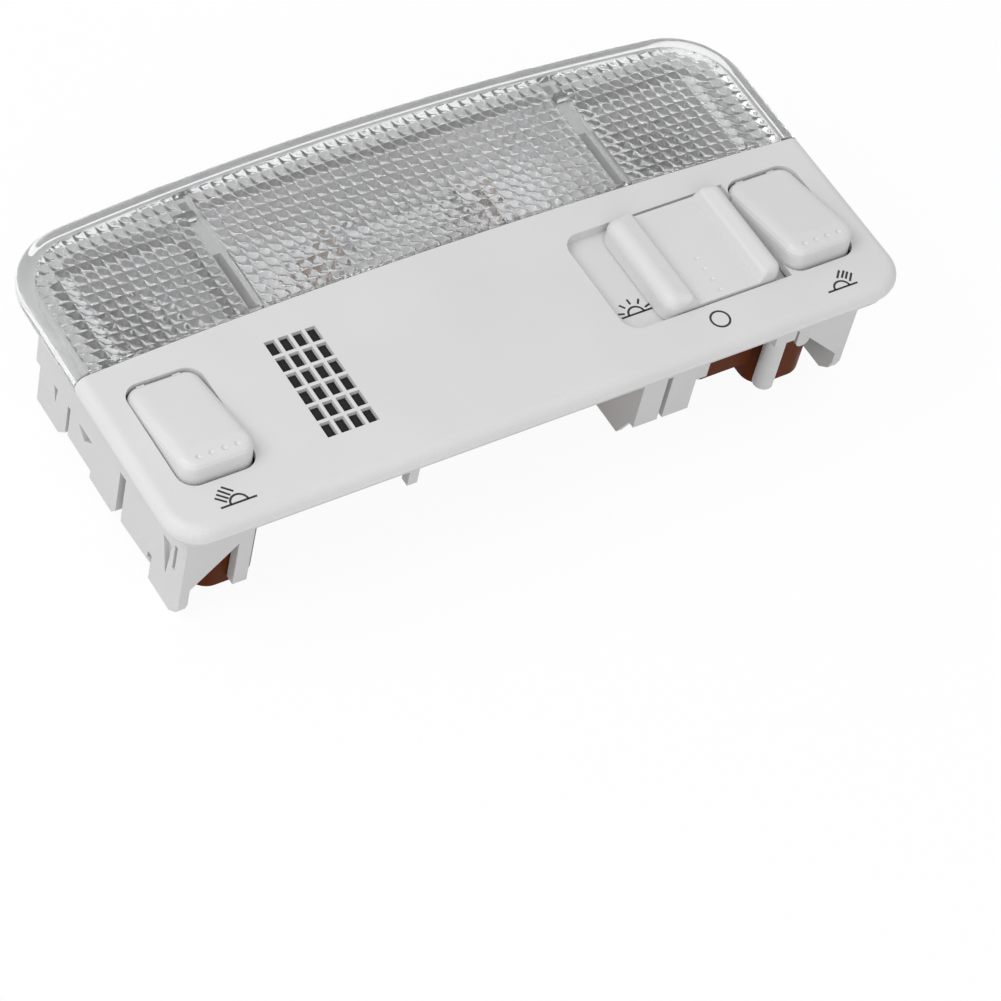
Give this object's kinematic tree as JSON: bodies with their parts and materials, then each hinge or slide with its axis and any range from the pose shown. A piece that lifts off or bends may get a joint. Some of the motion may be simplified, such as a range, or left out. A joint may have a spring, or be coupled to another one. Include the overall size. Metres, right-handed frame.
{
  "type": "car dome light",
  "caption": "Car dome light: clear prismatic lens, grey face with slotted grille, two rocking reading-light buttons and a slide switch, on a rear housing with legs.",
  "frame": {"origin": "middle of the bounding box's bottom, at the tips of the housing's legs", "axes": "+X along the length to the slide switch's end, +Y from the buttons' edge to the lens, +Z out of the face, away from the legs"},
  "size_m": [0.1926, 0.0954, 0.045],
  "materials": {
    "face_grey": "fine-textured light warm grey",
    "button_grey": "fine-textured light warm grey",
    "housing_grey": "fine-textured light grey",
    "clear_lens": "clear, glossy outside, pressed prisms inside",
    "bulb_glass": "clear",
    "bulb_metal": "nickel-plated",
    "tungsten": "dull dark wire",
    "copper": "bare stamped copper alloy",
    "brown_plastic": "dark red-brown phenolic",
    "black_plastic": "black",
    "natural_plastic": "natural acetal",
    "reflector": "satin sheet",
    "spring_steel": "drawn wire",
    "foam": "black open-cell foam"
  },
  "bodies": {
    "housing": {"face_plate": "face_grey", "lens": "clear_lens", "rear_housing": "housing_grey", "contact_carrier": "brown_plastic", "slide_switch_base": "black_plastic", "slide_switch_contacts": "copper", "left_switch_cup": "brown_plastic", "right_switch_cup": "brown_plastic", "left_switch_lid": "natural_plastic", "right_switch_lid": "natural_plastic", "left_return_spring": "spring_steel", "right_return_spring": "spring_steel", "supply_busbar": "copper", "ground_busbar": "copper", "switched_busbar": "copper", "socket_pins": "copper", "middle_reflector": "reflector", "left_reflector": "reflector", "right_reflector": "reflector", "tube_bulb_glass": "bulb_glass", "tube_bulb_caps": "bulb_metal", "tube_bulb_filament": "tungsten", "left_bulb_contact": "copper", "right_bulb_contact": "copper", "left_reading_bulb": "bulb_glass", "right_reading_bulb": "bulb_glass", "left_bulb_holder": "black_plastic", "right_bulb_holder": "black_plastic", "connector_socket": "housing_grey", "microphone": "bulb_metal", "microphone_foam": "foam"},
    "left_button": {"left_button": "button_grey"},
    "right_button": {"right_button": "button_grey"},
    "slider": {"slider_knob": "button_grey", "slider_carriage": "black_plastic", "slider_bridge": "copper"},
    "left_plunger": {"left_plunger": "natural_plastic"},
    "right_plunger": {"right_plunger": "natural_plastic"}
  },
  "joints": [
    {"name": "left_button_press", "type": "hinge", "parent": "housing", "child": "left_button", "pos_m": [-0.0793, -0.0074, 0.0326], "axis": [1, 0, 0], "range_deg": [0, 4.2], "stiffness_Nm_per_rad": 0.5, "springref_deg": -1.72},
    {"name": "left_plunger_slide", "type": "slide", "parent": "housing", "child": "left_plunger", "axis": [0, 0, 1], "range_m": [-0.0018, 0], "deforming": ["left_return_spring"]},
    {"name": "right_button_press", "type": "hinge", "parent": "housing", "child": "right_button", "pos_m": [0.0793, -0.0074, 0.0326], "axis": [1, 0, 0], "range_deg": [0, 4.2], "stiffness_Nm_per_rad": 0.5, "springref_deg": -1.72},
    {"name": "right_plunger_slide", "type": "slide", "parent": "housing", "child": "right_plunger", "axis": [0, 0, 1], "range_m": [-0.0018, 0], "deforming": ["right_return_spring"]},
    {"name": "switch_slide", "type": "slide", "parent": "housing", "child": "slider", "axis": [1, 0, 0], "range_m": [-0.0095, 0]}
  ],
  "couplings": [
    {"joint": "left_plunger_slide", "follows": "left_button_press", "m_per_rad": -0.0236},
    {"joint": "right_plunger_slide", "follows": "right_button_press", "m_per_rad": -0.0236}
  ]
}
